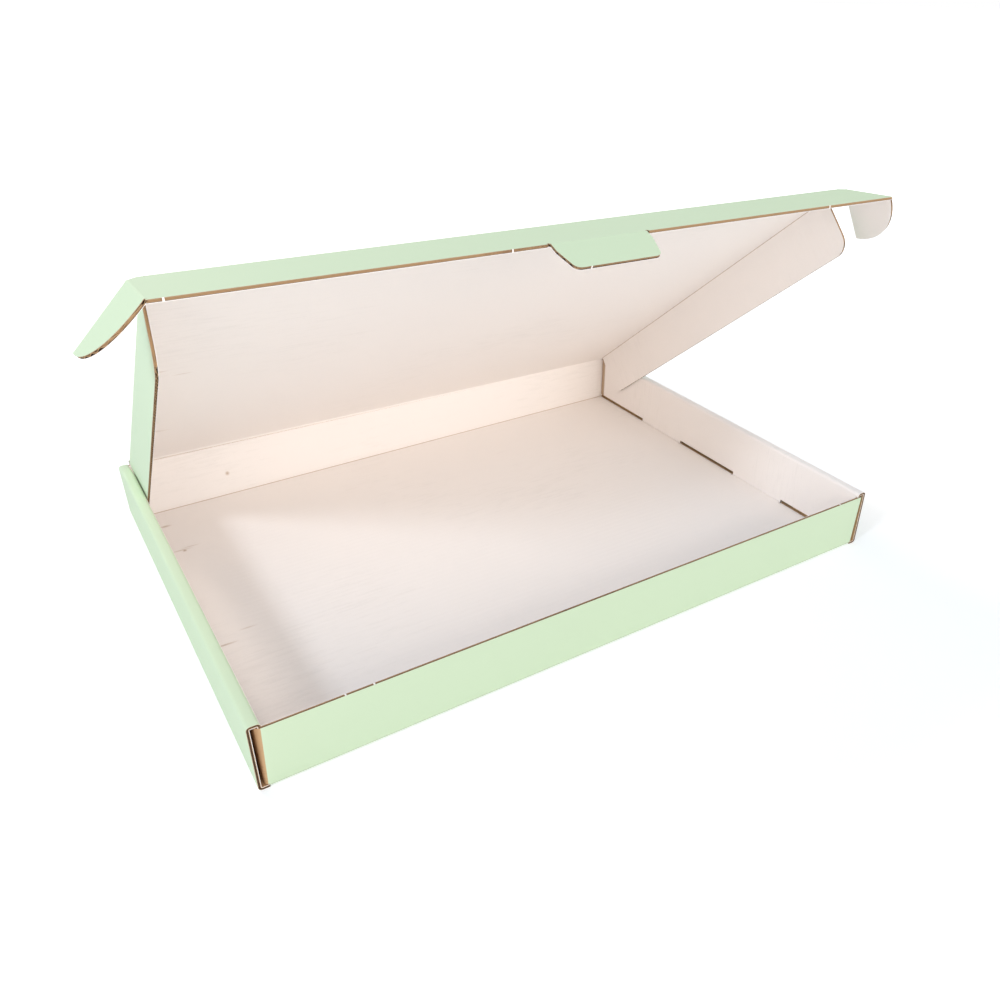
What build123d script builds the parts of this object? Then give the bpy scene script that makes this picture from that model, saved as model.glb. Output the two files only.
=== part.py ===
from build123d import *
import os

# Letterbox mailer box, folded from one die-cut sheet of fine-flute corrugated board.
# X runs along the front wall, Y to the back, Z up; the origin is the centre of the underside.
# Lengths are in millimetres and angles in degrees.

# Board
board = 1.3
fold_radius = 0.95

# Tray, outside
tray_width = 332.0
tray_depth = 237.0
roll_height = 32.0
front_drop = 2.5
hinge_drop = 1.0

# Rolled side walls: outer panel, room for a lid ear, corner flap, inner panel
ear_clearance = 0.1
roll_slack = 0.05
end_gap = 0.25
notch_gap = 0.4
foot_gap = 0.6
corner_flap_length = 45.0
corner_flap_taper = 3.0
corner_flap_lift = 0.3

# Locking tabs of the inner panels, through slots in the floor
lock_length = 41.0
lock_spacing = 92.4
lock_taper = 0.9
lock_recess = 0.15
slot_gap = 0.2
slot_end_gap = 0.4

# Lid and its side flaps
lid_gap = 0.2
pivot_gap = 0.15
side_flap_floor_gap = 0.7
side_flap_front_setback = 6.8
side_flap_back_setback = 2.0
side_flap_corner = 8.0

# Tuck flap, its locking tab and its ears
tuck_gap = 0.5
tuck_foot = 0.4
tab_width = 44.0
tab_length = 14.5
tab_offset = -4.7
tab_corner = 5.0
tab_notch = 1.2
ear_length = 27.7
ear_setback = 2.5
ear_floor_gap = 0.5
ear_tip_radius = 1.2

# Folds as the box stands in the photograph
lid_open = 38.6
tuck_fold = 35.8
tab_fold = 26.0
left_ear_fold = 45.0
right_ear_fold = 60.0

# Places that follow from the sizes
mid = board / 2
half_width = tray_width / 2
front_y = -tray_depth / 2
back_y = tray_depth / 2
front_height = roll_height - front_drop
hinge_y = back_y - mid
hinge_z = roll_height - hinge_drop
ear_slot = board + 2 * ear_clearance
ear_x = half_width - board - ear_slot / 2
corner_x = half_width - board - ear_slot - mid
inner_x = corner_x - mid - roll_slack - board
inner_mid = inner_x + mid
outer_mid = half_width - mid
foot_z = board + foot_gap
lid_half = inner_x - lid_gap
flap_mid = lid_half - mid
side_flap_depth = hinge_z - board - side_flap_floor_gap
tuck_y = front_y - tuck_gap - mid
tuck_height = hinge_z - tuck_foot
tuck_free_y = tuck_y - tuck_height
pivot_reach = mid + pivot_gap
overlap = 3.0


def block(x0, x1, y0, y1, z0, z1):
    """A box between two corners."""
    return Pos(x0, y0, z0) * Box(x1 - x0, y1 - y0, z1 - z0, align=(Align.MIN, Align.MIN, Align.MIN))


def folded_section(points):
    """The section of a strip of board that follows a line and turns with the fold radius."""
    return trace(FilletPolyline(*points, radius=fold_radius), line_width=board)


def along_x(section, half):
    """A section drawn in Y and Z, run to both sides along X."""
    return extrude(Plane.YZ * section, amount=half, both=True)


def along_y(section, start, length):
    """A section drawn in X and Z, run forward from its back end."""
    plane = Plane(origin=(0, start, 0), x_dir=(1, 0, 0), z_dir=(0, -1, 0))
    return extrude(plane * section, amount=length)


def bead_x(y, half):
    """The round edge along X that a fold turns on."""
    return Pos(0, y, hinge_z) * Rot(0, 90, 0) * Cylinder(mid, 2 * half)


def bead_y(x, y0, y1):
    """The round edge along Y that a fold turns on."""
    return Pos(x, (y0 + y1) / 2, hinge_z) * Rot(90, 0, 0) * Cylinder(mid, y1 - y0)


def flat_panel(outline):
    """A panel of board at the level of the closed lid."""
    return extrude(Pos(0, 0, hinge_z - mid) * outline, amount=board)


def end_wall(side):
    """The front or back wall's upper part with its two corner flaps, side -1 or 1."""
    wall_y = side * (back_y - mid)
    flap_y = wall_y - side * corner_flap_length
    points = [(-corner_x, flap_y), (-corner_x, wall_y), (corner_x, wall_y), (corner_x, flap_y)]
    low = board + corner_flap_lift
    wall = extrude(Pos(0, 0, low) * folded_section(points), amount=front_height - low)
    ends = wall.edges().filter_by(Axis.X).filter_by(lambda e: abs(e.center().Y - flap_y) < mid)
    return chamfer(ends, corner_flap_taper)


def roll(side):
    """A rolled side wall: outer panel up, top strip, inner panel down to the floor."""
    points = [
        (side * inner_mid, foot_z),
        (side * inner_mid, roll_height - mid),
        (side * outer_mid, roll_height - mid),
        (side * outer_mid, mid),
        (side * (corner_x - overlap), mid),
    ]
    wall = along_y(folded_section(points), back_y, tray_depth)
    near, far = sorted([side * (inner_x - overlap), side * (corner_x + mid)])
    reach = board + end_gap
    top = front_height + notch_gap
    wall -= block(near, far, front_y, front_y + reach, board, top)
    wall -= block(near, far, back_y - reach, back_y, board, top)
    return wall


def lock_places():
    """Side and middle of each locking tab."""
    return [(side, y) for side in (-1, 1) for y in (-lock_spacing / 2, lock_spacing / 2)]


def lock_slot(side, y):
    """The slot in the floor that a locking tab passes through."""
    near, far = sorted([side * (inner_x - slot_gap), side * (inner_x + board + slot_gap)])
    half = lock_length / 2 + slot_end_gap
    return block(near, far, y - half, y + half, -board, 2 * board)


def lock_tab(side, y):
    """A locking tab on the lower edge of an inner panel."""
    half = lock_length / 2
    low = half - lock_taper
    outline = Polyline(
        (y - half, foot_z + overlap),
        (y - half, board),
        (y - low, lock_recess),
        (y + low, lock_recess),
        (y + half, board),
        (y + half, foot_z + overlap),
        close=True,
    )
    return Pos(side * inner_mid, 0, 0) * along_x(make_face(outline), mid)


def make_tray():
    """Floor, front and back walls, corner flaps and both rolled side walls."""
    section = folded_section(
        [(-hinge_y, front_height), (-hinge_y, mid), (hinge_y, mid), (hinge_y, front_height)]
    )
    tray = along_x(section, corner_x - fold_radius)
    tray += end_wall(-1) + end_wall(1)
    tray += block(-lid_half, lid_half, back_y - board, back_y, front_height - board, hinge_z)
    tray += bead_x(hinge_y, lid_half)
    tray += roll(-1) + roll(1)
    for side, y in lock_places():
        tray -= lock_slot(side, y)
    for side, y in lock_places():
        tray += lock_tab(side, y)
    return tray


def make_lid():
    """The lid panel with its two side flaps folded square."""
    low = hinge_z - side_flap_depth
    points = [(-flap_mid, low), (-flap_mid, hinge_z), (flap_mid, hinge_z), (flap_mid, low)]
    front = tuck_y + side_flap_front_setback
    back = hinge_y - side_flap_back_setback
    lid = along_y(folded_section(points), back, back - front)
    corners = lid.edges().filter_by(Axis.X).filter_by(lambda e: e.center().Z < low + mid)
    lid = fillet(corners, side_flap_corner)
    middle = (tuck_y + hinge_y - pivot_reach) / 2
    panel = Rectangle(2 * (flap_mid - fold_radius), hinge_y - pivot_reach - tuck_y)
    lid += flat_panel(Pos(0, middle) * panel)
    lid += bead_x(tuck_y, flap_mid - fold_radius)
    return lid


def make_tuck():
    """The tuck flap, flat in the lid's plane, with a round edge where each ear and the tab turn."""
    outline = Pos(0, (tuck_y - pivot_reach + tuck_free_y) / 2) * Rectangle(
        2 * ear_x, tuck_height - pivot_reach
    )
    for side in (-1, 1):
        notch_x = tab_offset + side * (tab_width + tab_notch) / 2
        outline -= Pos(notch_x, tuck_free_y) * Rectangle(tab_notch, 2 * tab_notch)
    tuck = flat_panel(outline)
    tuck += Pos(tab_offset, 0, 0) * bead_x(tuck_free_y, tab_width / 2)
    for side in (-1, 1):
        tuck += bead_y(side * ear_x, tuck_free_y, tuck_y - pivot_reach)
    return tuck


def make_tab():
    """The locking tab on the tuck flap's free edge, flat in the lid's plane."""
    length = tab_length - pivot_reach
    root = tuck_free_y - pivot_reach
    outline = Pos(tab_offset, root - length / 2) * Rectangle(tab_width, length)
    outline = fillet(outline.vertices().sort_by(Axis.Y)[:2], tab_corner)
    return flat_panel(outline)


def make_ear(side):
    """A quarter-round ear at the end of the tuck flap, flat in the lid's plane."""
    top = tuck_y - ear_setback
    drop = top - (tuck_y - hinge_z + board + ear_floor_gap)
    root = ear_x + pivot_reach
    round_end = Pos(ear_x, top) * Ellipse(ear_length, drop)
    quarter = Pos(root, top - drop) * Rectangle(ear_length, drop, align=(Align.MIN, Align.MIN))
    outline = round_end & quarter
    tip = outline.vertices().sort_by(Axis.X)[-1]
    ear = flat_panel(fillet(tip, ear_tip_radius))
    return ear if side > 0 else mirror(ear, Plane.YZ)


def open_lid(shape):
    """Turn with the lid, up from the closed box."""
    return shape.rotate(Axis((0, hinge_y, hinge_z), (-1, 0, 0)), lid_open)


def fold_tuck(shape):
    """Turn with the tuck flap, down from the lid's plane."""
    return open_lid(shape.rotate(Axis((0, tuck_y, hinge_z), (1, 0, 0)), tuck_fold))


def fold_tab(shape):
    """Turn with the locking tab, in from the tuck flap's plane."""
    return fold_tuck(shape.rotate(Axis((0, tuck_free_y, hinge_z), (1, 0, 0)), tab_fold))


def fold_ear(shape, side, angle):
    """Turn with an ear, in from the tuck flap's plane."""
    return fold_tuck(shape.rotate(Axis((side * ear_x, 0, hinge_z), (0, side, 0)), angle))


parts = {
    "tray": make_tray(),
    "lid": open_lid(make_lid()),
    "tuck_flap": fold_tuck(make_tuck()),
    "tuck_tab": fold_tab(make_tab()),
    "left_ear": fold_ear(make_ear(-1), -1, left_ear_fold),
    "right_ear": fold_ear(make_ear(1), 1, right_ear_fold),
}

os.makedirs("parts", exist_ok=True)
for name, shape in parts.items():
    export_step(shape, f"parts/{name}.step")
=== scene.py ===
import math

import bmesh
import bpy
import numpy as np
from mathutils import Matrix, Vector


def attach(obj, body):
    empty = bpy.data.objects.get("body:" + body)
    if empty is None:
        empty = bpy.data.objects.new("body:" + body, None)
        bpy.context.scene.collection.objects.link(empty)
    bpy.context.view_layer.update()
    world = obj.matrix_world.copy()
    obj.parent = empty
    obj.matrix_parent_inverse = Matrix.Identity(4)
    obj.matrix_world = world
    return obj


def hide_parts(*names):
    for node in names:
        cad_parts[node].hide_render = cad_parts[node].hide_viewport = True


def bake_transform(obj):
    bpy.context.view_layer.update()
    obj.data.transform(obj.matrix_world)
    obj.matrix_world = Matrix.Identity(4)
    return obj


# Letterbox mailer box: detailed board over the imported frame.
# Lengths are in millimetres here and become metres when a mesh is made; angles are in degrees.

# Sizes that the part's source also has
board = 1.3
fold_radius = 0.95
tray_width = 332.0
tray_depth = 237.0
roll_height = 32.0
front_height = 29.5
hinge_z = 31.0
ear_slot = 1.5
roll_slack = 0.05
end_gap = 0.25
notch_gap = 0.4
foot_gap = 0.6
corner_flap_length = 45.0
corner_flap_taper = 3.0
lock_length = 41.0
lock_spacing = 92.4
lock_taper = 0.9
lock_recess = 0.15
slot_gap = 0.2
slot_end_gap = 0.4
lid_gap = 0.2
side_flap_floor_gap = 0.7
side_flap_front_setback = 6.8
side_flap_back_setback = 2.0
side_flap_corner = 8.0
tuck_gap = 0.5
tuck_foot = 0.4
tab_width = 44.0
tab_length = 14.5
tab_offset = -4.7
tab_notch = 1.2
ear_length = 27.7
ear_setback = 2.5
ear_floor_gap = 0.5
lid_open = 38.6
tuck_fold = 35.8
tab_fold = 26.0
left_ear_fold = 45.0
right_ear_fold = 60.0

# Places that follow from the sizes
mid = board / 2
back_y = tray_depth / 2
hinge_y = back_y - mid
outer_mid = tray_width / 2 - mid
ear_x = tray_width / 2 - board - ear_slot / 2
corner_x = tray_width / 2 - board - ear_slot - mid
inner_x = corner_x - mid - roll_slack - board
inner_mid = inner_x + mid
foot_z = board + foot_gap
lid_half = inner_x - lid_gap
flap_mid = lid_half - mid
side_flap_depth = hinge_z - board - side_flap_floor_gap
tuck_y = -back_y - tuck_gap - mid
tuck_height = hinge_z - tuck_foot
tuck_free_y = tuck_y - tuck_height
ear_top = tuck_y - ear_setback
ear_drop = ear_top - (tuck_y - hinge_z + board + ear_floor_gap)

# Lengths in millimetres that count as nothing, and the decimals that are kept
tiny = 1e-9
hair = 1e-6
touch = 1e-4
digits = 5

# Metres in a millimetre, and the distance in metres at which points are joined
metres = 0.001
weld_distance = 2e-7

# How the board is drawn
crease = 1.5
pivot_gap = 0.15
flute_pitch = 3.5
liner = 0.2
flute_paper = 0.16
flute_height = mid - liner - flute_paper / 2
flute_setback = 0.04
edge_recess = 1.1
shallow_share = 0.4
facing_limit = 0.7
mitre_limit = 0.3
ripple = 0.03
sharp_angle = 38.0

# The lines of the grids that the panels are drawn on, and the room round the lines that are keys
flute_step = flute_pitch / 4
wide_step = 16.0
panel_step = 10.0
flap_step = 6.0
rise_step = 2.4
bend_steps = 5
key_clear = 0.25
row_clear = 0.04
column_clear = 0.2
taper_margin = 0.6
share_step = 0.18
share_clear = 0.01
flap_columns = 7
ear_columns = 21
ear_rows = 24
ear_end_angle = 86.5
crease_rows = 16
corner_turns = [math.radians(angle) for angle in range(15, 91, 15)]

# Form that the part's source doesn't have: wear, leaning flaps, small corners and uncut nicks
foot_show = 1.2
hook_length = 1.5
lock_taper_reach = 4 * lock_taper
tuck_bevel = 3.0
tuck_corner_width = 0.4
tuck_corner_gap = 0.1
tab_step = 2.5
tab_slope = 2.6
tab_round = 2.4
right_flap_front = 84.0
right_flap_back = 90.0
left_flap_front = 84.0
left_flap_back = 92.0
back_wall_lean = 9.0
lean_start = 72.0
roll_end_sag = 2.2
roll_end_reach = 22.0
front_skew = 1.2
flap_back_room = 0.8
flap_back_trim = 7.0
flap_trim_reach = 40.0
nick = 0.7
front_nicks = (-129.8, -118.2, 145.8)
tuck_nicks = (-159.3, -42.6, 120.7)
tab_nicks = (-17.6,)

# Where the looks change: painted shade along fold lines and in the gap behind a lid flap, and the
# print round a wall's end, past which the left corner flap takes painted shade and the right one
# stays white
tray_fold_dark = 1.4
tray_fold_reach = 0.55
lid_fold_dark = 1.3
lid_fold_reach = 0.5
gap_shade = 3.0
left_print_reach = 0.4
right_print_reach = 1.2

# Places of the materials in every piece's list
# The last look is painted shade deep in the cut edges' recesses, and the fluted paper's look also
# paints shade on hidden faces
PRINT, WHITE, PAPER, FLUTE_AND_SHADE, RECESS_SHADE = range(5)

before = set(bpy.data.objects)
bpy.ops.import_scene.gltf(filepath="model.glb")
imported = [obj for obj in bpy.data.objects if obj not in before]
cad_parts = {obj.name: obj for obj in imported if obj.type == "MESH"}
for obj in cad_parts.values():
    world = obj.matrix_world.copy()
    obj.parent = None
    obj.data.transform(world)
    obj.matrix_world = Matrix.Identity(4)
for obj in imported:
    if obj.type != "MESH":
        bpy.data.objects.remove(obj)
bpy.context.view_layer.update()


class FoldLine:
    """The line that the middle of the board follows: straight runs joined by round bends."""

    def __init__(self, *corners):
        points = [np.array(c, float) for c in corners]
        self.runs = []
        length = 0.0
        start = points[0]
        for here, there, beyond in zip(points, points[1:], points[2:] + [None]):
            way = (there - here) / np.linalg.norm(there - here)
            turn, cut = 0.0, 0.0
            if beyond is not None:
                onward = (beyond - there) / np.linalg.norm(beyond - there)
                cross = way[0] * onward[1] - way[1] * onward[0]
                turn = math.atan2(cross, way @ onward)
                cut = fold_radius * math.tan(abs(turn) / 2)
            end = there - way * cut
            self.runs.append((length, start, way, 0.0))
            length += np.linalg.norm(end - start)
            if turn:
                self.runs.append((length, end, way, turn))
                length += fold_radius * abs(turn)
                start = there + onward * cut
        self.length = length

    def at(self, s):
        """Points and left-hand normals at lengths along the line."""
        s = np.asarray(s, float)
        point = np.zeros(s.shape + (2,))
        normal = np.zeros(s.shape + (2,))
        for begin, start, way, turn in self.runs:
            here = s >= begin - tiny
            if begin == 0.0:
                here = np.ones_like(here)
            go = s[here] - begin
            left = np.array([-way[1], way[0]])
            if turn:
                side = math.copysign(1.0, turn)
                angle = go / fold_radius
                along, aside = np.sin(angle)[..., None], np.cos(angle)[..., None]
                point[here] = start + fold_radius * (along * way + side * (1 - aside) * left)
                normal[here] = aside * left - side * along * way
            else:
                point[here] = start + go[..., None] * way
                normal[here] = left
        return point, normal

    def stops(self, step):
        """Lengths where a mesh along the line has its rows."""
        found = [0.0]
        ends = [run[0] for run in self.runs[1:]] + [self.length]
        for (begin, _, _, turn), end in zip(self.runs, ends):
            count = bend_steps if turn else max(1, round((end - begin) / step))
            found += list(np.linspace(begin, end, count + 1)[1:])
        return found


def lines(keys, step, low, high, clear=key_clear):
    """Sorted places between two ends: the keys, and regular ones that keep clear of them."""
    inside = {round(k, digits) for k in keys if low - hair <= k <= high + hair}
    keys = sorted(inside | {low, high})
    count = max(1, round((high - low) / step))
    regular = np.linspace(low, high, count + 1)
    return np.array(sorted(keys + [r for r in regular if min(abs(r - k) for k in keys) > clear]))


def at_line(place, line):
    """Whether a place lies on a line of the grid."""
    return abs(place - line) < touch


def joined(*columns):
    """Lines of several lists in one, with those that fall together made one."""
    return np.unique(np.round([c for part in columns for c in part], digits))


def along_flutes(ways):
    """Whether the edges that face these ways run along the flutes."""
    return np.abs(ways[:, 1]) > facing_limit


def recess(ways):
    """How far open the edges that face these ways are, which is less along the flutes."""
    return edge_recess * np.where(along_flutes(ways), shallow_share, 1.0)[:, None]


def wave(v):
    """The height of the fluted paper above the middle of the board."""
    return flute_height * np.sin(2 * math.pi * v / flute_pitch)


def nick_lines(places):
    """Both sides of each uncut nick along an edge."""
    return [u + side * nick / 2 for u in places for side in (-1, 1)]


def at_nick(u, places):
    """Whether a place is within one of the nicks."""
    return any(abs(u - place) < nick / 2 for place in places)


class Sheet:
    """Folded board: two liners, cut edges open between them, and the fluted paper inside."""

    def __init__(self, behind=FLUTE_AND_SHADE):
        self.points, self.blank, self.faces, self.looks = [], [], [], []
        self.behind = behind
        self.fold = lambda u, v: np.zeros(len(u))
        self.folds = []
        self.count = 0

    def add(self, place, u, v, h):
        """New points at places in the blank, and their numbers."""
        u, v, h = np.broadcast_arrays(*(np.asarray(x, float) for x in (u, v, h)))
        u, v, h = u.ravel(), v.ravel(), h.ravel()
        self.points.append(place(u, v, h))
        self.blank.append(np.stack([u, v, h], axis=1))
        self.folds.append(self.fold(u, v))
        first = self.count
        self.count += len(u)
        return np.arange(first, self.count)

    def face(self, look, *corners):
        """Faces between lists of corners, one face for each place in the lists."""
        stacked = np.stack(corners, axis=1)
        self.faces += stacked.tolist()
        self.looks += [look] * len(stacked)

    def patch(self, grid_u, grid_v, keep, place, edge, outside=None, inside=None):
        """A panel or a run of panels, drawn as the kept cells of a grid in the blank."""
        shape = grid_u.shape
        sag = ripple * np.cos(2 * math.pi * grid_v / flute_pitch)
        inner = self.add(place, grid_u, grid_v, mid - ripple + sag).reshape(shape)
        outer = self.add(place, grid_u, grid_v, np.full(shape, -mid)).reshape(shape)
        i, j = np.nonzero(keep)
        middle = (grid_u[i, j] + grid_u[i + 1, j]) / 2, (grid_v[i, j] + grid_v[i, j + 1]) / 2
        outside = outside(*middle) if outside else np.full(len(i), PRINT)
        inside = inside(*middle) if inside else np.full(len(i), WHITE)
        for look in (PRINT, WHITE, FLUTE_AND_SHADE):
            a, b = i[inside == look], j[inside == look]
            self.face(look, inner[a, b], inner[a + 1, b], inner[a + 1, b + 1], inner[a, b + 1])
            a, b = i[outside == look], j[outside == look]
            self.face(look, outer[a, b], outer[a, b + 1], outer[a + 1, b + 1], outer[a + 1, b])
        for loop in boundary_loops(keep):
            self.rim(loop, grid_u, grid_v, inner, outer, place, edge)

    def rim(self, loop, grid_u, grid_v, inner, outer, place, edge):
        """The wall round one edge loop of a patch."""
        i, j = np.array(loop).T
        at = np.stack([grid_u[i, j], grid_v[i, j]], axis=1)
        ahead = np.roll(at, -1, axis=0)
        way = ahead - at
        out = np.stack([way[:, 1], -way[:, 0]], axis=1)
        out /= np.maximum(np.linalg.norm(out, axis=1, keepdims=True), tiny)
        kinds = [edge(u, v) for u, v in (at + ahead) / 2]
        cut = np.array([k == "cut" for k in kinds])
        drawn = np.array([k != "open" for k in kinds])
        before, cut_before = np.roll(out, 1, axis=0), np.roll(cut, 1)
        both = (cut & cut_before)[:, None]
        scale = 1 + np.sum(out * before, axis=1, keepdims=True)
        mitre = (out + before) / np.maximum(scale, mitre_limit)
        mitre = np.where(both, mitre, np.where(cut[:, None], out, before))
        top, low = inner[i, j], outer[i, j]
        high = self.add(place, at[:, 0], at[:, 1], mid - liner)
        deep = self.add(place, at[:, 0], at[:, 1], liner - mid)
        back = at - recess(mitre) * mitre
        back_high = self.add(place, back[:, 0], back[:, 1], mid - liner)
        back_deep = self.add(place, back[:, 0], back[:, 1], liner - mid)
        after = np.roll(np.arange(len(loop)), -1)

        def band(look, which, first, second):
            k = np.nonzero(which)[0]
            self.face(look, first[k], second[k], second[after[k]], first[after[k]])

        nicked = np.array([k == "nick" for k in kinds])
        band(WHITE, drawn, top, high)
        band(PAPER, drawn & ~nicked, deep, low)
        band(WHITE, nicked, deep, low)
        along = along_flutes(out)
        # Painted shade lines the recess behind a cut edge
        band(RECESS_SHADE, cut, high, back_high)
        band(self.behind, cut & along, back_high, back_deep)
        band(RECESS_SHADE, cut & ~along, back_high, back_deep)
        band(RECESS_SHADE, cut, back_deep, deep)
        band(FLUTE_AND_SHADE, drawn & ~cut & ~nicked, high, deep)
        band(WHITE, nicked, high, deep)
        starts = np.nonzero(cut & ~cut_before)[0]
        self.face(FLUTE_AND_SHADE, high[starts], deep[starts], back_deep[starts], back_high[starts])
        ends = np.nonzero(~cut & cut_before)[0]
        self.face(FLUTE_AND_SHADE, high[ends], back_high[ends], back_deep[ends], deep[ends])
        if cut.all():
            runs = [(np.arange(len(loop)), True)]
        else:
            runs = []
            for start in starts:
                run = [start]
                while cut[after[run[-1]]]:
                    run.append(after[run[-1]])
                runs.append((np.array(run), False))
        for run, closed in runs:
            self.fluting(run, closed, at, mitre, after, place)

    def fluting(self, run, closed, at, mitre, after, place):
        """The fluted paper along a run of cut edges."""
        spots, ways = [], []
        for k in run:
            steps = max(1, math.ceil(abs(at[after[k], 1] - at[k, 1]) / (flute_step / 2)))
            share = np.arange(steps)[:, None] / steps
            spots.append(at[k] * (1 - share) + at[after[k]] * share)
            ways.append(mitre[k] * (1 - share) + mitre[after[k]] * share)
        if not closed:
            spots.append(at[after[run[-1]]][None])
            ways.append(mitre[after[run[-1]]][None])
        spots, ways = np.concatenate(spots), np.concatenate(ways)
        near = spots - flute_setback * ways
        far = spots - recess(ways) * ways
        half = flute_paper / 2
        ring = [
            self.add(place, near[:, 0], near[:, 1], wave(near[:, 1]) + half),
            self.add(place, near[:, 0], near[:, 1], wave(near[:, 1]) - half),
            self.add(place, far[:, 0], far[:, 1], wave(far[:, 1]) - half),
            self.add(place, far[:, 0], far[:, 1], wave(far[:, 1]) + half),
        ]
        last = len(spots) if closed else len(spots) - 1
        k = np.arange(last)
        n = (k + 1) % len(spots)
        for first, second in zip(ring, ring[1:] + ring[:1]):
            self.face(FLUTE_AND_SHADE, first[k], second[k], second[n], first[n])
        if not closed:
            self.face(FLUTE_AND_SHADE, *(r[:1] for r in ring[::-1]))
            self.face(FLUTE_AND_SHADE, *(r[-1:] for r in ring))

    def piece(self, name, materials, welded=False):
        """The sheet as a Blender object."""
        points = np.concatenate(self.points) * metres
        used = np.unique(np.concatenate([np.array(f) for f in self.faces]))
        number = np.full(len(points), -1)
        number[used] = np.arange(len(used))
        mesh = bpy.data.meshes.new(name)
        faces = [number[np.array(f)].tolist() for f in self.faces]
        mesh.from_pydata(points[used].tolist(), [], faces)
        mesh.polygons.foreach_set("material_index", self.looks)
        blank = mesh.attributes.new("blank", "FLOAT_VECTOR", "POINT")
        blank.data.foreach_set("vector", (np.concatenate(self.blank)[used] * metres).ravel())
        # How much painted shade of a fold, or of the gap behind a lid flap, each point takes
        fold = mesh.attributes.new("fold", "FLOAT", "POINT")
        fold.data.foreach_set("value", np.concatenate(self.folds)[used])
        for material in materials:
            mesh.materials.append(material)
        mesh.polygons.foreach_set("use_smooth", np.ones(len(mesh.polygons), bool))
        piece = bpy.data.objects.new(name, mesh)
        bpy.context.scene.collection.objects.link(piece)
        if welded:
            weld(mesh)
        mesh.set_sharp_from_angle(angle=math.radians(sharp_angle))
        mesh.update()
        return piece


def weld(mesh):
    """Joins points that lie in the same place."""
    work = bmesh.new()
    work.from_mesh(mesh)
    bmesh.ops.remove_doubles(work, verts=work.verts, dist=weld_distance)
    work.to_mesh(mesh)
    work.free()


def boundary_loops(keep):
    """Closed loops of grid corners round the kept cells, with the cells on the left."""
    across, up = keep.shape
    full = np.zeros((across + 2, up + 2), bool)
    full[1:-1, 1:-1] = keep
    following = {}
    for i, j in zip(*np.nonzero(keep)):
        if not full[i + 1, j]:
            following[(i, j)] = (i + 1, j)
        if not full[i + 2, j + 1]:
            following[(i + 1, j)] = (i + 1, j + 1)
        if not full[i + 1, j + 2]:
            following[(i + 1, j + 1)] = (i, j + 1)
        if not full[i, j + 1]:
            following[(i, j + 1)] = (i, j)
    loops = []
    while following:
        start = next(iter(following))
        loop = [start]
        here = following.pop(start)
        while here != start:
            loop.append(here)
            here = following.pop(here)
        loops.append(loop)
    return loops


def grid(u_lines, v_lines):
    """Grid corners for lines across and up the blank."""
    return np.meshgrid(np.asarray(u_lines, float), np.asarray(v_lines, float), indexing="ij")


def cells(grid_u, grid_v):
    """Middles of the grid's cells."""
    u = (grid_u[:-1, :-1] + grid_u[1:, :-1] + grid_u[1:, 1:] + grid_u[:-1, 1:]) / 4
    v = (grid_v[:-1, :-1] + grid_v[1:, :-1] + grid_v[1:, 1:] + grid_v[:-1, 1:]) / 4
    return u, v


def turned(points, origin, axis, angle):
    """Points turned about an axis."""
    matrix = np.array(Matrix.Rotation(math.radians(angle), 3, Vector(axis)))
    return (points - origin) @ matrix.T + origin


def with_lid(points):
    """From the closed lid's plane to where the open lid is."""
    return turned(points, np.array([0, hinge_y, hinge_z]), (-1, 0, 0), lid_open)


def with_tuck(points):
    """From the closed lid's plane to where the tuck flap is."""
    return with_lid(turned(points, np.array([0, tuck_y, hinge_z]), (1, 0, 0), tuck_fold))


def with_tab(points):
    """From the closed lid's plane to where the locking tab is."""
    return with_tuck(turned(points, np.array([0, tuck_free_y, hinge_z]), (1, 0, 0), tab_fold))


def with_ear(side, angle):
    """From the closed lid's plane to where an ear is."""
    origin = np.array([side * ear_x, 0, hinge_z])
    return lambda points: with_tuck(turned(points, origin, (0, side, 0), angle))


# Tray

roll_line = FoldLine(
    (0, mid),
    (outer_mid, mid),
    (outer_mid, roll_height - mid),
    (inner_mid, roll_height - mid),
    (inner_mid, lock_recess),
)
wall_line = FoldLine((0, mid), (hinge_y, mid), (hinge_y, front_height))
plan_line = FoldLine((0, 0), (corner_x, 0), (corner_x, corner_flap_length))
wall_start = hinge_y - fold_radius
wall_side = corner_x - fold_radius
fold_end = wall_start + fold_radius * math.pi / 2
slot_near, slot_far = inner_x - slot_gap, inner_x + board + slot_gap
foot_s = roll_line.length - (foot_z + foot_show - lock_recess)
board_s = roll_line.length - (board - lock_recess)
outer_bend, inner_bend, inner_panel = (roll_line.runs[k][0] for k in (3, 5, 6))
notch_s = roll_line.length - (front_height + notch_gap - lock_recess)
inner_end = back_y - board - end_gap
lock_middles = (-lock_spacing / 2, lock_spacing / 2)


def smooth(share):
    """A soft step from 0 to 1."""
    share = np.clip(share, 0, 1)
    return share * share * (3 - 2 * share)


def above_floor(z, top):
    """How far up a wall a height is: 0 at the floor and 1 at the wall's top."""
    return np.clip((z - 2 * board) / (top - 2 * board), 0, 1)


def leaned(u, y, z):
    """The back wall's foot stands in at its left end, and the floor gives with it."""
    amount = back_wall_lean * np.clip((wall_side - u) / (2 * wall_side), 0, 1)
    amount = np.where(np.abs(u) > wall_side + touch, 0.0, amount)
    share = smooth((y - lean_start) / (wall_start - lean_start))
    return y - amount * share * (1 - above_floor(z, hinge_z))


def place_roll(u, v, h):
    """The floor and both rolled side walls, the left one sagging at its back end."""
    point, normal = roll_line.at(np.abs(u))
    side = np.where(u < 0, -1.0, 1.0)
    z = point[:, 1] + h * normal[:, 1]
    y = leaned(u, v, 0 * z)
    sag = roll_end_sag * smooth((v - back_y + roll_end_reach) / roll_end_reach)
    z -= np.where(u < 0, sag * above_floor(z, roll_height), 0)
    return np.stack([side * (point[:, 0] + h * normal[:, 0]), y, z], axis=1)


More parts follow.
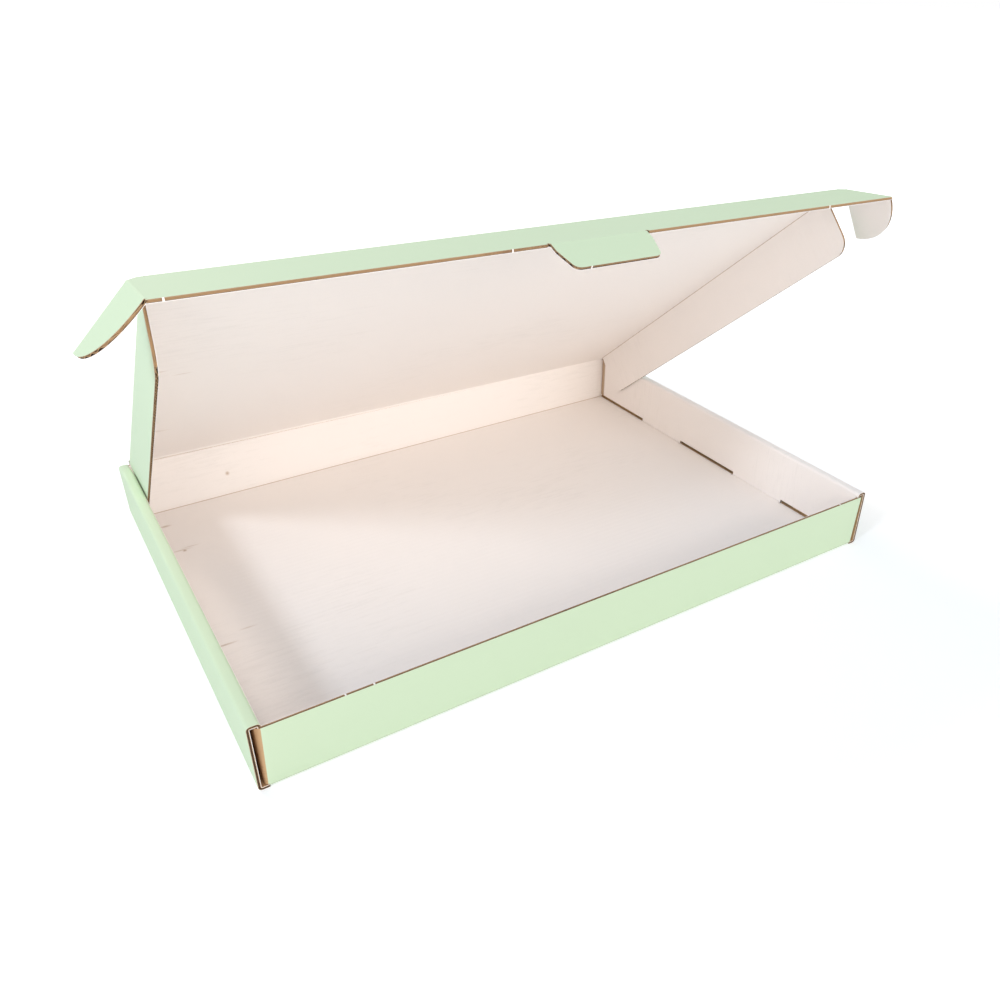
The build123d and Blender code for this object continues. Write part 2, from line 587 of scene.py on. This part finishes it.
def place_wall(u, v, h):
    """The front or back wall with its corner flaps."""
    side_x, side_y = np.where(u < 0, -1.0, 1.0), np.where(v < 0, -1.0, 1.0)
    rise, rise_normal = wall_line.at(np.abs(v))
    plan, plan_normal = plan_line.at(np.abs(u))
    turning = np.abs(u) > wall_side + hair
    x = np.where(turning, plan[:, 0] + h * plan_normal[:, 0], np.abs(u))
    flap_y = hinge_y - plan[:, 1] - h * plan_normal[:, 1]
    y = np.where(turning, flap_y, rise[:, 0] + h * rise_normal[:, 0])
    z = rise[:, 1] + np.where(turning, 0.0, h * rise_normal[:, 1])
    shown_u = np.clip(u, -wall_side, wall_side)
    y = np.where(side_y > 0, leaned(shown_u, y, z), -y)
    skew = front_skew * above_floor(z, front_height)
    skew *= (side_y < 0) * (1 - smooth(plan[:, 1] / board))
    return np.stack([side_x * x + skew, y, z], axis=1)


def tray_fold_and_gap_shade(u, v):
    """How much painted shade a point takes near the fold of floor and back wall, and painted shadow
    in the gap behind a lid flap.
    """
    across = np.abs(v - (wall_start + fold_end) / 2)
    fold = np.clip(tray_fold_dark - across / tray_fold_reach, 0, 1)
    fold *= np.abs(u) <= wall_side + hair
    # Painted shadow in the gap between a lid flap and the roll's inner panel, near its back end
    gap = (np.abs(u) > inner_panel) & (v > inner_end - gap_shade)
    return np.maximum(fold, gap)


def floor_columns():
    """Lines across the floor, which the walls share."""
    half = [slot_near - hook_length, slot_near, slot_far, wall_side]
    keys = [0.0, *half, *(-u for u in half), *nick_lines(front_nicks)]
    return lines(keys, wide_step, -wall_side, wall_side)


def make_tray(materials):
    """One sheet: floor, rolled sides with locking tabs, front and back walls with corner flaps."""
    # The back of the tray's recesses along the flutes is painted shade as well
    sheet = Sheet(behind=RECESS_SHADE)
    # The liner's painted shade along the back fold and behind the lid flaps
    sheet.fold = tray_fold_and_gap_shade
    half_u = [s for s in roll_line.stops(panel_step) if s > wall_side + column_clear]
    half_u += [notch_s, foot_s, board_s, roll_line.length]
    columns = joined(floor_columns(), half_u, [-s for s in half_u])
    keys = [-wall_start, wall_start, -inner_end, inner_end]
    for y in lock_middles:
        half = lock_length / 2
        keys += [y - half - slot_end_gap, y - half, y + half, y + half + slot_end_gap]
    rows = lines(keys, flute_step, -back_y, back_y, clear=row_clear)
    grid_u, grid_v = grid(columns, rows)
    u, v = cells(grid_u, grid_v)
    s = np.abs(u)
    in_slot, in_tab = np.zeros(u.shape, bool), np.zeros(u.shape, bool)
    for y in lock_middles:
        away = np.abs(v - y)
        in_slot |= (away < lock_length / 2 + slot_end_gap) & (s > slot_near) & (s < slot_far)
        hook = np.abs(away - (lock_length + slot_end_gap) / 2) < slot_end_gap / 2
        in_slot |= hook & (s > slot_near - hook_length) & (s < slot_far)
        in_tab |= away < lock_length / 2
        from_end = lock_length / 2 - np.abs(grid_v - y)
        low = (np.abs(grid_u) > board_s + hair) & (from_end > -hair)
        shift = lock_taper * np.clip(1 - from_end / lock_taper_reach, 0, 1)
        grid_v -= np.where(low, np.sign(grid_v - y) * shift, 0)
    keep = np.where(s < wall_side, np.abs(v) < wall_start, True) & ~in_slot
    keep &= ~((s > notch_s) & (np.abs(v) > inner_end))
    keep &= (s < foot_s) | in_tab

    def roll_edge(u, v):
        if at_line(abs(v), wall_start) and abs(u) < wall_side:
            return "open"
        near_wall = at_line(abs(u), wall_side) and abs(v) > wall_start
        return "plain" if near_wall else "cut"

    left_top = inner_bend + fold_radius
    right_top = outer_bend + fold_radius / 2

    def roll_outside(u, v):
        return np.where((u > -left_top) & (u < right_top), PRINT, WHITE)

    # Past the slots' near side, the roll's faces under and behind the inner panel take the kraft
    # colour: painted shade seen through the slots and under the panel's foot
    def roll_inside(u, v):
        return np.where(np.abs(u) > slot_near, FLUTE_AND_SHADE, WHITE)

    sheet.patch(grid_u, grid_v, keep, place_roll, roll_edge, roll_outside, roll_inside)
    flap_u = [s for s in plan_line.stops(flap_step) if s > wall_side + touch]
    flap_u += [plan_line.length - corner_flap_taper - taper_margin]
    columns = joined(floor_columns(), flap_u, [-s for s in flap_u])
    rise = [s for s in wall_line.stops(rise_step) if s > wall_start - hair]
    rise += [wall_line.length - corner_flap_taper, fold_end + corner_flap_taper, wall_start]
    rise = joined(rise)
    for side in (-1, 1):
        rows = rise if side > 0 else -rise[::-1]
        grid_u, grid_v = grid(columns, rows)
        u, v = cells(grid_u, grid_v)
        keep = (np.abs(u) < wall_side) | (np.abs(v) > fold_end)
        end = np.abs(grid_u) > plan_line.length - touch
        height = np.abs(grid_v)
        short = np.maximum(height - (wall_line.length - corner_flap_taper), 0)
        short += np.maximum(fold_end + corner_flap_taper - height, 0)
        grid_u[end] -= (np.sign(grid_u) * short)[end]

        def wall_edge(u, v, side=side):
            at_top = at_line(abs(v), wall_line.length)
            if at_line(abs(v), wall_start) and abs(u) < wall_side:
                return "open"
            if at_line(abs(u), wall_side) and abs(v) < fold_end:
                return "plain"
            if side > 0 and at_top and abs(u) < lid_half:
                return "plain"
            if side < 0 and at_top and at_nick(u, front_nicks):
                return "nick"
            return "cut"

        # Past the print, the left corner flap's outer face takes the kraft colour as painted shade
        # of its narrow gap, while the right one's stays white
        def wall_outside(u, v):
            left, right = u < -wall_side - left_print_reach, u > wall_side + right_print_reach
            return np.where(left, FLUTE_AND_SHADE, np.where(right, WHITE, PRINT))

        # The corner flaps' hidden inner faces take the kraft colour as painted shade
        def wall_inside(u, v):
            return np.where(np.abs(u) > wall_side, FLUTE_AND_SHADE, WHITE)

        sheet.patch(grid_u, grid_v, keep, place_wall, wall_edge, wall_outside, wall_inside)
    return sheet.piece("tray_board", materials, welded=True)


# Lid

bend_length = fold_radius * math.pi / 2
bend_start = flap_mid - fold_radius
flap_front = tuck_y + side_flap_front_setback
flap_back = hinge_y - side_flap_back_setback - flap_back_room
flap_reach = side_flap_depth - mid - fold_radius


def flap_angle(side, v):
    """How far a lid side flap is folded, which changes from its front to its back."""
    front = right_flap_front if side > 0 else left_flap_front
    back = right_flap_back if side > 0 else left_flap_back
    share = np.clip((v - flap_front) / (flap_back - flap_front), 0, 1)
    return np.radians(front + (back - front) * share)


def place_lid_flat(u, v, h):
    """The lid with its side flaps, in the closed lid's plane."""
    side = np.where(u < 0, -1.0, 1.0)
    angle = np.where(u < 0, flap_angle(-1, v), flap_angle(1, v))
    radius = bend_length / angle
    go = np.abs(u) - bend_start
    turn = np.clip(go, 0, bend_length) / radius
    beyond = np.maximum(go - bend_length, 0)
    x = np.minimum(np.abs(u), bend_start) + radius * np.sin(turn) + beyond * np.cos(turn)
    z = hinge_z - radius * (1 - np.cos(turn)) - beyond * np.sin(turn)
    x -= h * np.sin(turn)
    z -= h * np.cos(turn)
    return np.stack([side * x, v, z], axis=1)


def place_lid(u, v, h):
    """The lid as it stands open."""
    return with_lid(place_lid_flat(u, v, h))


def rounded_loss(distance, radius):
    """How much a rounded corner takes off at a distance from the end."""
    near = np.clip(radius - distance, 0, radius)
    return radius - np.sqrt(np.maximum(radius**2 - near**2, 0))


def lid_fold_shade(u, v):
    """How much painted shade a point takes near a side flap's fold."""
    across = np.abs(np.abs(u) - bend_start - bend_length / 2)
    return np.clip(lid_fold_dark - across / lid_fold_reach, 0, 1)


def make_lid(materials):
    """The lid and its two side flaps."""
    sheet = Sheet()
    # The liner's painted shade along the side flaps' folds
    sheet.fold = lid_fold_shade
    depth = np.linspace(0, 1, flap_columns + 1)[1:]
    side_u = [bend_start + bend_length * (k + 1) / bend_steps for k in range(bend_steps)]
    side_u += [bend_start + bend_length + flap_reach * d for d in depth]
    panel_u = lines([], wide_step, -bend_start, bend_start)
    columns = np.array([*(-s for s in side_u[::-1]), *panel_u, *side_u])
    front, back = tuck_y + crease, hinge_y - crease
    keys = [flap_front, flap_back]
    for angle in corner_turns:
        from_end = side_flap_corner * (1 - math.cos(angle))
        keys += [flap_front + from_end, flap_back - from_end]
    rows = lines(keys, flute_step, front, back, clear=row_clear)
    grid_u, grid_v = grid(columns, rows)
    u, v = cells(grid_u, grid_v)
    keep = (np.abs(u) < bend_start) | ((v > flap_front) & (v < flap_back))
    loss = rounded_loss(np.minimum(grid_v - flap_front, flap_back - grid_v), side_flap_corner)
    beyond = np.maximum(np.abs(grid_u) - bend_start - bend_length, 0) / flap_reach
    grid_u -= np.sign(grid_u) * beyond * loss
    near_back = (grid_v - flap_back) / flap_trim_reach + 1
    trimmed = (grid_u < 0) & (near_back > 0) & (near_back < 1 + hair)
    grid_v -= np.where(trimmed, flap_back_trim * beyond * near_back, 0)

    def edge(u, v):
        at_fold = at_line(v, front) or at_line(v, back)
        return "plain" if at_fold and abs(u) < bend_start else "cut"

    sheet.patch(grid_u, grid_v, keep, place_lid, edge)
    return sheet.piece("lid_board", materials)


# Tuck flap, its tab and its ears


def flat(u, v, h):
    """A point of a panel in the closed lid's plane."""
    return np.stack([u, v, hinge_z - h], axis=1)


def make_tuck(materials):
    """The tuck flap, with a notch beside each end of its tab."""
    sheet = Sheet()
    notch = [tab_offset + side * (tab_width / 2 + n) for side in (-1, 1) for n in (0, tab_notch)]
    keys_u = [-ear_x, ear_x, -ear_x + crease, ear_x - crease, *notch, *nick_lines(tuck_nicks)]
    corner_u = bend_start + tuck_corner_width
    keys_u += [-corner_u, -bend_start, bend_start, corner_u]
    columns = lines(keys_u, panel_step, -ear_x, ear_x)
    keys_v = [ear_top, ear_top - ear_drop, tuck_free_y + crease, tuck_free_y + tab_notch]
    rows = lines(keys_v, flute_step, tuck_free_y, tuck_y - crease, clear=row_clear)
    grid_u, grid_v = grid(columns, rows)
    beyond = np.maximum(grid_v - ear_top, 0) / (tuck_y - crease - ear_top)
    outer = np.clip((np.abs(grid_u) - bend_start) / (ear_x - bend_start), 0, 1)
    corner = (beyond > 1 - hair) & (np.abs(grid_u) > bend_start + tuck_corner_width / 2)
    grid_u -= np.sign(grid_u) * tuck_bevel * beyond * outer
    grid_v[corner] += crease - tuck_corner_gap
    u, v = cells(grid_u, grid_v)
    at_ear = (v < ear_top) & (v > ear_top - ear_drop)
    keep = ~((np.abs(u) > ear_x - crease) & at_ear)
    across = np.abs(u - tab_offset)
    keep &= ~((across < tab_width / 2) & (v < tuck_free_y + crease))
    keep &= ~((across < tab_width / 2 + tab_notch) & (v < tuck_free_y + tab_notch))

    def edge(u, v):
        if at_line(v, rows[-1]):
            return "plain"
        if at_line(abs(u), ear_x - crease) and ear_top - ear_drop < v < ear_top:
            return "plain"
        if at_line(v, tuck_free_y + crease) and abs(u - tab_offset) < tab_width / 2:
            return "plain"
        return "nick" if at_line(v, tuck_free_y) and at_nick(u, tuck_nicks) else "cut"

    sheet.patch(grid_u, grid_v, keep, lambda u, v, h: with_tuck(flat(u, v, h)), edge)
    return sheet.piece("tuck_board", materials)


def make_tab(materials):
    """The locking tab with rounded corners."""
    sheet = Sheet()
    root, end = tuck_free_y - crease, tuck_free_y - tab_length
    keys = [end + tab_round * (1 - math.cos(angle)) for angle in corner_turns]
    rows = lines([*keys, root - tab_step], flute_step / 2, end, root, clear=row_clear)
    end_half = tab_width / 2 - tab_slope - tab_round
    nicks = [(u - tab_offset) / end_half for u in nick_lines(tab_nicks)]
    columns = lines(nicks, share_step, -1.0, 1.0, clear=share_clear)
    grid_u, grid_v = grid(columns, rows)
    slope = tab_slope * np.clip((root - tab_step - grid_v) / (root - tab_step - end), 0, 1)
    loss = rounded_loss(grid_v - end, tab_round) + slope
    grid_u = tab_offset + grid_u * (tab_width / 2 - loss)

    def edge(u, v):
        if at_line(v, root):
            return "plain"
        return "nick" if at_line(v, end) and at_nick(u, tab_nicks) else "cut"

    keep = np.ones((len(columns) - 1, len(rows) - 1), bool)
    sheet.patch(grid_u, grid_v, keep, lambda u, v, h: with_tab(flat(u, v, h)), edge)
    return sheet.piece("tab_board", materials)


def make_ear(side, angle, materials):
    """A quarter-round ear."""
    sheet = Sheet()
    first = math.asin(crease / ear_length)
    turns = np.linspace(first, math.radians(ear_end_angle), ear_columns + 1)
    reach = ear_length * np.sin(turns)
    drop = ear_drop * np.cos(turns)
    share = np.linspace(0, 1, ear_rows + 1)
    if side < 0:
        reach, drop = reach[::-1], drop[::-1]
    grid_u = side * (ear_x + reach)[:, None] * np.ones((1, len(share)))
    grid_v = ear_top - drop[:, None] * (1 - share)[None, :]

    def edge(u, v):
        return "plain" if at_line(abs(u), ear_x + crease) else "cut"

    turn = with_ear(side, angle)
    keep = np.ones((ear_columns, ear_rows), bool)
    sheet.patch(grid_u, grid_v, keep, lambda u, v, h: turn(flat(u, v, h)), edge)
    return sheet.piece("left_ear_board" if side < 0 else "right_ear_board", materials)


# Folds between bodies


def make_crease(name, origin, across, inward, along, ends, angle, move, materials):
    """The strip of board, bent to a set angle, between two bodies."""
    origin, across, inward, along = (np.array(x, float) for x in (origin, across, inward, along))
    reach = mid + pivot_gap

    def place(u, v, h):
        turn = np.radians(angle) * smooth((v + reach) / (2 * reach))
        s = v * np.cos(turn) - h * np.sin(turn)
        n = v * np.sin(turn) + h * np.cos(turn)
        points = origin + u[:, None] * along + s[:, None] * across + n[:, None] * inward
        return move(points)

    def edge(u, v):
        return "plain" if at_line(abs(v), crease) else "cut"

    sheet = Sheet()
    low, high = ends
    columns = lines([], panel_step, low, high)
    grid_u, grid_v = grid(columns, np.linspace(-crease, crease, crease_rows + 1))
    keep = np.ones((len(columns) - 1, crease_rows), bool)
    sheet.patch(grid_u, grid_v, keep, place, edge)
    piece = sheet.piece(name, materials)
    middle = np.array([(low + high) / 2] * 2)
    start, end = place(middle, np.array([-reach, reach]), np.zeros(2)) * metres
    tuple(start)
    tuple(end)
    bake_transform(piece)
    return piece


# Materials

streak_scale, streak_detail, streak_stretch = 640.0, 2.0, (0.13, 1.3, 1.0)
fibre_scale, fibre_detail, fibre_stretch = 2400.0, 3.0, (0.6, 1.0, 1.0)
cloud_scale, cloud_detail, cloud_stretch = 9.0, 1.0, (1.0, 1.0, 1.0)
tint_below, colour_above = 0.3, 0.15
bump_strength, bump_height = 0.35, 0.0002
paper_gloss = 0.25


def node_tree(name):
    """A new material with its node tree and its surface shader."""
    material = bpy.data.materials.new(name)
    material.use_nodes = True
    tree = material.node_tree
    tree.nodes.clear()
    output = tree.nodes.new("ShaderNodeOutputMaterial")
    shader = tree.nodes.new("ShaderNodeBsdfPrincipled")
    tree.links.new(shader.outputs["BSDF"], output.inputs["Surface"])
    return material, tree, shader


def make_paper(name, colour, tint, roughness, grain, streak, shade_and_wear_colour=None):
    """Paper with streaks, fine fibres and soft clouds, and on the liner painted shade along folds
    and small worn marks.
    """
    material, tree, shader = node_tree(name)
    nodes, links = tree.nodes, tree.links
    where = nodes.new("ShaderNodeAttribute")
    where.attribute_name = "blank"

    def noise(scale, detail, stretch):
        mapping = nodes.new("ShaderNodeMapping")
        mapping.inputs["Scale"].default_value = stretch
        links.new(where.outputs["Vector"], mapping.inputs["Vector"])
        texture = nodes.new("ShaderNodeTexNoise")
        texture.inputs["Scale"].default_value = scale
        texture.inputs["Detail"].default_value = detail
        links.new(mapping.outputs["Vector"], texture.inputs["Vector"])
        return texture.outputs["Fac"]

    def sum_of(first, weight, second):
        step = nodes.new("ShaderNodeMath")
        step.operation = "MULTIPLY_ADD"
        step.inputs[1].default_value = weight
        links.new(first, step.inputs[0])
        links.new(second, step.inputs[2])
        return step.outputs["Value"]

    streaks = noise(streak_scale, streak_detail, streak_stretch)
    fibres = noise(fibre_scale, fibre_detail, fibre_stretch)
    clouds = noise(cloud_scale, cloud_detail, cloud_stretch)
    total = sum_of(streaks, streak, sum_of(fibres, grain, clouds))
    middle = (1 + streak + grain) / 2
    ramp = nodes.new("ShaderNodeValToRGB")
    ramp.color_ramp.elements[0].position = middle - tint_below
    ramp.color_ramp.elements[0].color = (*tint, 1)
    ramp.color_ramp.elements[1].position = middle + colour_above
    ramp.color_ramp.elements[1].color = (*colour, 1)
    links.new(total, ramp.inputs["Fac"])
    shown = ramp.outputs["Color"]
    if shade_and_wear_colour:

        # Mixes in the darker colour: painted shade for the folds and the gap, worn marks for the
        # spots
        def shade_and_wear(amount, strength=1.0):
            part = nodes.new("ShaderNodeMath")
            part.operation = "MULTIPLY"
            part.use_clamp = True
            part.inputs[1].default_value = strength
            links.new(amount, part.inputs[0])
            mix = nodes.new("ShaderNodeMix")
            mix.data_type = "RGBA"
            mix.inputs["B"].default_value = (*shade_and_wear_colour, 1)
            links.new(part.outputs["Value"], mix.inputs["Factor"])
            links.new(shown, mix.inputs["A"])
            return mix.outputs["Result"]

        # Painted shade along the folds and in the gap behind a lid flap
        fold = nodes.new("ShaderNodeAttribute")
        fold.attribute_name = "fold"
        shown = shade_and_wear(fold.outputs["Fac"])
        for (u, v, h), (length, width), strength in marks:
            mapping = nodes.new("ShaderNodeMapping")
            mapping.vector_type = "TEXTURE"
            mapping.inputs["Location"].default_value = (u * metres, v * metres, h * metres)
            mapping.inputs["Scale"].default_value = (length * metres, width * metres, metres)
            links.new(where.outputs["Vector"], mapping.inputs["Vector"])
            spot = nodes.new("ShaderNodeTexGradient")
            spot.gradient_type = "SPHERICAL"
            links.new(mapping.outputs["Vector"], spot.inputs["Vector"])
            shown = shade_and_wear(spot.outputs["Fac"], strength)
    links.new(shown, shader.inputs["Base Color"])
    bump = nodes.new("ShaderNodeBump")
    bump.inputs["Strength"].default_value = bump_strength
    bump.inputs["Distance"].default_value = bump_height
    links.new(total, bump.inputs["Height"])
    links.new(bump.outputs["Normal"], shader.inputs["Normal"])
    shader.inputs["Roughness"].default_value = roughness
    shader.inputs["Specular IOR Level"].default_value = paper_gloss
    return material


# Small worn spots of the white side: place in the blank, length and width, and strength
back_mark_height = 13.3
back_mark_v = fold_end + back_mark_height - mid - fold_radius
marks = [
    ((-111.8, back_mark_v, mid), (1.5, 1.5), 0.9),
    ((-149.9, 61.2, mid), (1.3, 1.3), 1.0),
    ((-151.5, 62.4, mid), (7.0, 0.9), 0.5),
    ((-146.5, 64.0, mid), (6.0, 0.8), 0.4),
    ((-153.2, 96.0, mid), (4.0, 2.0), 0.7),
    ((-153.5, -27.8, mid), (7.0, 0.9), 0.7),
    ((-141.0, -20.5, mid), (5.0, 0.8), 0.4),
]

# Colours of each paper: where it is plain, and where its fibres are darker
print_colours = (0.572, 0.695, 0.500), (0.564, 0.686, 0.493)
liner_colours = (0.945, 0.888, 0.848), (0.905, 0.85, 0.81)
edge_colours = (0.45, 0.31, 0.20), (0.28, 0.18, 0.11)
# The fluted paper's kraft colours, also used as painted shade on hidden faces and on the left
# corner flap
flute_and_shade_colours = (0.52, 0.33, 0.18), (0.34, 0.20, 0.11)
# Near-black painted shade for the recesses behind the cut edges
recess_shade_colours = (0.12, 0.075, 0.05), (0.06, 0.035, 0.02)
# Painted shade of the folds and of the gap behind a lid flap, also the colour of the worn marks
fold_shade_and_wear_colour = (0.50, 0.36, 0.25)


def make_materials():
    """Printed outside, white inside, the liners' cut edges, the fluted paper, which also paints
    shade on hidden faces, and painted shade deep in the cut edges.
    """
    return [
        make_paper("print", *print_colours, roughness=0.62, grain=0.3, streak=0.3),
        make_paper(
            "liner", *liner_colours, roughness=0.7, grain=0.4, streak=0.8, shade_and_wear_colour=fold_shade_and_wear_colour
        ),
        make_paper("paper_edge", *edge_colours, roughness=0.85, grain=0.5, streak=0.6),
        make_paper("flute_and_shade", *flute_and_shade_colours, roughness=0.9, grain=0.6, streak=0.6),
        # Painted shade deep in the cut edges
        make_paper("inside", *recess_shade_colours, roughness=0.9, grain=0.6, streak=0.2),
    ]


materials = make_materials()

tray = make_tray(materials)
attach(tray, "tray")
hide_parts("tray")
lid = make_lid(materials)
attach(lid, "lid")
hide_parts("lid")
tuck = make_tuck(materials)
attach(tuck, "tuck_flap")
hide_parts("tuck_flap")
tab = make_tab(materials)
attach(tab, "tuck_tab")
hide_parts("tuck_tab")
left_ear = make_ear(-1, left_ear_fold, materials)
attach(left_ear, "left_ear")
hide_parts("left_ear")
right_ear = make_ear(1, right_ear_fold, materials)
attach(right_ear, "right_ear")
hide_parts("right_ear")

creases = [
    make_crease(
        "lid_crease",
        origin=(0, hinge_y, hinge_z),
        across=(0, 0, 1),
        inward=(0, -1, 0),
        along=(1, 0, 0),
        ends=(-lid_half, lid_half),
        angle=90 - lid_open,
        move=lambda points: points,
        materials=materials,
    ),
    make_crease(
        "tuck_crease",
        origin=(0, tuck_y, hinge_z),
        across=(0, -1, 0),
        inward=(0, 0, -1),
        along=(-1, 0, 0),
        ends=(-bend_start, bend_start),
        angle=tuck_fold,
        move=with_lid,
        materials=materials,
    ),
    make_crease(
        "tab_crease",
        origin=(tab_offset, tuck_free_y, hinge_z),
        across=(0, -1, 0),
        inward=(0, 0, -1),
        along=(-1, 0, 0),
        ends=(-tab_width / 2, tab_width / 2),
        angle=tab_fold,
        move=with_tuck,
        materials=materials,
    ),
    make_crease(
        "left_ear_crease",
        origin=(-ear_x, 0, hinge_z),
        across=(-1, 0, 0),
        inward=(0, 0, -1),
        along=(0, 1, 0),
        ends=(ear_top - ear_drop, ear_top),
        angle=left_ear_fold,
        move=with_tuck,
        materials=materials,
    ),
    make_crease(
        "right_ear_crease",
        origin=(ear_x, 0, hinge_z),
        across=(1, 0, 0),
        inward=(0, 0, -1),
        along=(0, -1, 0),
        ends=(-ear_top, ear_drop - ear_top),
        angle=right_ear_fold,
        move=with_tuck,
        materials=materials,
    ),
]


# Camera, fitted to the box's edges in the photograph

camera_place = (-201.68, -366.86, 260.02)
camera_azimuth = 34.604
camera_elevation = 31.059
camera_roll = 1.785
focal_pixels = 872.39
principal_point = (565.91, 515.59)
image_size = 1000
sensor_width = 36.0
clip_start, clip_end = 0.01, 50.0


def add_camera():
    """The photograph's camera."""
    azimuth, elevation = math.radians(camera_azimuth), math.radians(camera_elevation)
    roll = math.radians(camera_roll)
    ahead = Vector(
        (
            math.sin(azimuth) * math.cos(elevation),
            math.cos(azimuth) * math.cos(elevation),
            -math.sin(elevation),
        )
    )
    level = ahead.cross(Vector((0, 0, 1))).normalized()
    upright = level.cross(ahead)
    right = math.cos(roll) * level + math.sin(roll) * upright
    up = math.cos(roll) * upright - math.sin(roll) * level
    data = bpy.data.cameras.new("camera")
    data.sensor_width = sensor_width
    data.lens = focal_pixels / image_size * data.sensor_width
    data.shift_x = (image_size / 2 - principal_point[0]) / image_size
    data.shift_y = (principal_point[1] - image_size / 2) / image_size
    data.clip_start, data.clip_end = clip_start, clip_end
    camera = bpy.data.objects.new("camera", data)
    bpy.context.scene.collection.objects.link(camera)
    turn = Matrix((right, up, -ahead)).transposed().to_4x4()
    camera.matrix_world = Matrix.Translation(Vector(camera_place) * metres) @ turn
    bpy.context.scene.camera = camera


# Floor and light, with lengths in metres

floor_half = 40.0
floor_grey = 0.8
floor_roughness = 0.9
near_floor, far_floor = 0.35, 1.2
near_glow, far_glow = 0.3, 0.8
world_strength = 0.524
cool = (0.79, 0.89, 1.0)
warm = (1.0, 0.89, 0.79)
pale_warm = (1.0, 0.91, 0.81)
white = (1.0, 1.0, 1.0, 1.0)
box_middle = (0.0, 0.0, 0.04)

# Lamps: name, place, target, size, power in watts and colour
lamps = [
    ("window", (-1.5, -0.45, 1.12), (-0.06, -0.02, 0.0), 0.3, 11.1, cool),
    ("front", (0.3, -1.5, 0.5), box_middle, 1.0, 10.0, pale_warm),
    ("front_right", (1.1, -1.1, 0.45), box_middle, 0.8, 2.5, cool),
    ("front_left", (-1.2, -1.2, 0.6), box_middle, 0.8, 6.4, warm),
    ("behind", (-0.3, 1.2, 1.3), (0.0, 0.0, 0.1), 0.8, 16.3, warm),
]


def background_ray(tree):
    """1 for what the camera sees, also in a reflection or through glass, and 0 for light."""
    path = tree.nodes.new("ShaderNodeLightPath")
    total = path.outputs["Is Camera Ray"]
    for kind in ("Is Glossy Ray", "Is Transmission Ray"):
        step = tree.nodes.new("ShaderNodeMath")
        step.operation = "ADD"
        step.use_clamp = True
        tree.links.new(total, step.inputs[0])
        tree.links.new(path.outputs[kind], step.inputs[1])
        total = step.outputs["Value"]
    return total


def add_floor():
    """A pale floor that shows white, and keeps the box's shadow."""
    mesh = bpy.data.meshes.new("floor")
    corners = [(x * floor_half, y * floor_half, 0) for x, y in [(-1, -1), (1, -1), (1, 1), (-1, 1)]]
    mesh.from_pydata(corners, [], [(0, 1, 2, 3)])
    floor = bpy.data.objects.new("floor", mesh)
    bpy.context.scene.collection.objects.link(floor)
    material, tree, shader = node_tree("floor")
    shader.inputs["Base Color"].default_value = (floor_grey, floor_grey, floor_grey, 1)
    shader.inputs["Roughness"].default_value = floor_roughness
    glow = tree.nodes.new("ShaderNodeEmission")
    glow.inputs["Color"].default_value = white
    links = tree.links
    total = tree.nodes.new("ShaderNodeAddShader")
    links.new(shader.outputs["BSDF"], total.inputs[0])
    links.new(glow.outputs["Emission"], total.inputs[1])
    where = tree.nodes.new("ShaderNodeNewGeometry")
    away = tree.nodes.new("ShaderNodeVectorMath")
    away.operation = "LENGTH"
    links.new(where.outputs["Position"], away.inputs[0])
    lift = tree.nodes.new("ShaderNodeMapRange")
    lift.inputs["From Min"].default_value = near_floor
    lift.inputs["From Max"].default_value = far_floor
    lift.inputs["To Min"].default_value = near_glow
    lift.inputs["To Max"].default_value = far_glow
    links.new(away.outputs["Value"], lift.inputs["Value"])
    both = tree.nodes.new("ShaderNodeMath")
    both.operation = "MULTIPLY"
    links.new(lift.outputs["Result"], both.inputs[1])
    links.new(background_ray(tree), both.inputs[0])
    links.new(both.outputs["Value"], glow.inputs["Strength"])
    output = next(n for n in tree.nodes if n.bl_idname == "ShaderNodeOutputMaterial")
    links.new(total.outputs["Shader"], output.inputs["Surface"])
    mesh.materials.append(material)


def add_lamp(name, place, target, size, power, colour):
    """A soft square lamp."""
    data = bpy.data.lights.new(name, "AREA")
    data.shape = "SQUARE"
    data.size = size
    data.energy = power
    data.color = colour
    lamp = bpy.data.objects.new(name, data)
    bpy.context.scene.collection.objects.link(lamp)
    lamp.location = place
    lamp.visible_camera = False
    lamp.rotation_mode = "QUATERNION"
    lamp.rotation_quaternion = (Vector(target) - Vector(place)).to_track_quat("-Z", "Y")


def add_world():
    """Even light from all round, and white where the background is seen."""
    world = bpy.data.worlds.new("studio")
    bpy.context.scene.world = world
    world.use_nodes = True
    tree = world.node_tree
    background = next(n for n in tree.nodes if n.bl_idname == "ShaderNodeBackground")
    background.inputs["Color"].default_value = (*cool, 1)
    background.inputs["Strength"].default_value = world_strength
    links = tree.links
    plain = tree.nodes.new("ShaderNodeBackground")
    plain.inputs["Color"].default_value = white
    plain.inputs["Strength"].default_value = 1.0
    choice = tree.nodes.new("ShaderNodeMixShader")
    links.new(background_ray(tree), choice.inputs["Fac"])
    links.new(background.outputs["Background"], choice.inputs[1])
    links.new(plain.outputs["Background"], choice.inputs[2])
    output = next(n for n in tree.nodes if n.bl_idname == "ShaderNodeOutputWorld")
    links.new(choice.outputs["Shader"], output.inputs["Surface"])


add_camera()
add_floor()
add_world()
for lamp in lamps:
    add_lamp(*lamp)

view = bpy.context.scene.view_settings
view.view_transform = "Standard"
